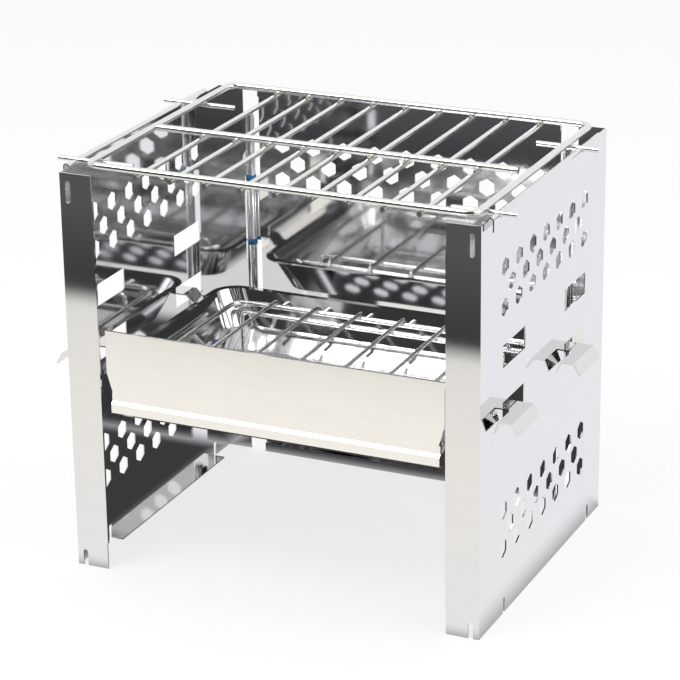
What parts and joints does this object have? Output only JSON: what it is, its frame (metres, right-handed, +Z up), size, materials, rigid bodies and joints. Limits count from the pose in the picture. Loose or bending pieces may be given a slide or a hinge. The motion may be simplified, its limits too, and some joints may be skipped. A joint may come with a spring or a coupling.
{
  "type": "folding charcoal grill",
  "caption": "Folding stainless charcoal grill: hinged vented panels, slotted fire tray, wire charcoal rack and lift-off cooking grate.",
  "frame": {"origin": "middle of the footprint, on the ground", "axes": "+X to the right seen from the open front, +Y to the hinged rear panel, +Z up"},
  "size_m": [0.2828, 0.194, 0.2443],
  "materials": {
    "panel_steel": "mirror-bright sheet",
    "satin_steel": "satin sheet",
    "polished_steel": "polished",
    "wire_steel": "bright plated wire"
  },
  "bodies": {
    "rear_frame": {"rear_panel": "panel_steel", "left_hinge_pin": "polished_steel", "right_hinge_pin": "polished_steel"},
    "left_side": {"left_side_panel": "panel_steel"},
    "right_side": {"right_side_panel": "panel_steel"},
    "fire_tray": {"fire_tray": "polished_steel", "front_ledge": "satin_steel", "front_guard": "satin_steel", "front_left_hook": "polished_steel", "front_right_hook": "polished_steel", "rear_left_hook": "polished_steel", "rear_right_hook": "polished_steel"},
    "charcoal_rack": {"front_rack_foot": "wire_steel", "rack_bar_1": "wire_steel", "rack_bar_2": "wire_steel", "rack_bar_3": "wire_steel", "rack_bar_4": "wire_steel", "rack_bar_5": "wire_steel", "rack_bar_6": "wire_steel", "rack_frame": "wire_steel", "rear_rack_foot": "wire_steel"},
    "cooking_grate": {"front_left_peg": "wire_steel", "front_right_peg": "wire_steel", "grate_bar_1": "wire_steel", "grate_bar_2": "wire_steel", "grate_bar_3": "wire_steel", "grate_bar_4": "wire_steel", "grate_bar_5": "wire_steel", "grate_bar_6": "wire_steel", "grate_bar_7": "wire_steel", "grate_bar_8": "wire_steel", "grate_bar_9": "wire_steel", "grate_frame": "wire_steel", "grate_rail": "wire_steel", "rear_left_peg": "wire_steel", "rear_right_peg": "wire_steel"}
  },
  "joints": [
    {"name": "left_side_hinge", "type": "hinge", "parent": "rear_frame", "child": "left_side", "pos_m": [-0.1029, 0.094, 0.12], "axis": [0, 0, 1], "range_deg": [-0.5, 0.5]},
    {"name": "right_side_hinge", "type": "hinge", "parent": "rear_frame", "child": "right_side", "pos_m": [0.1029, 0.094, 0.12], "axis": [0, 0, -1], "range_deg": [-0.5, 0.5]},
    {"name": "fire_tray_unlock", "type": "slide", "parent": "rear_frame", "child": "fire_tray", "axis": [0, 1, 0], "range_m": [0, 0.0185]},
    {"name": "charcoal_rack_lift", "type": "slide", "parent": "fire_tray", "child": "charcoal_rack", "axis": [0, 0, 1], "range_m": [0, 0.08]},
    {"name": "cooking_grate_lift", "type": "slide", "parent": "rear_frame", "child": "cooking_grate", "axis": [0, 0, 1], "range_m": [0, 0.12]}
  ]
}
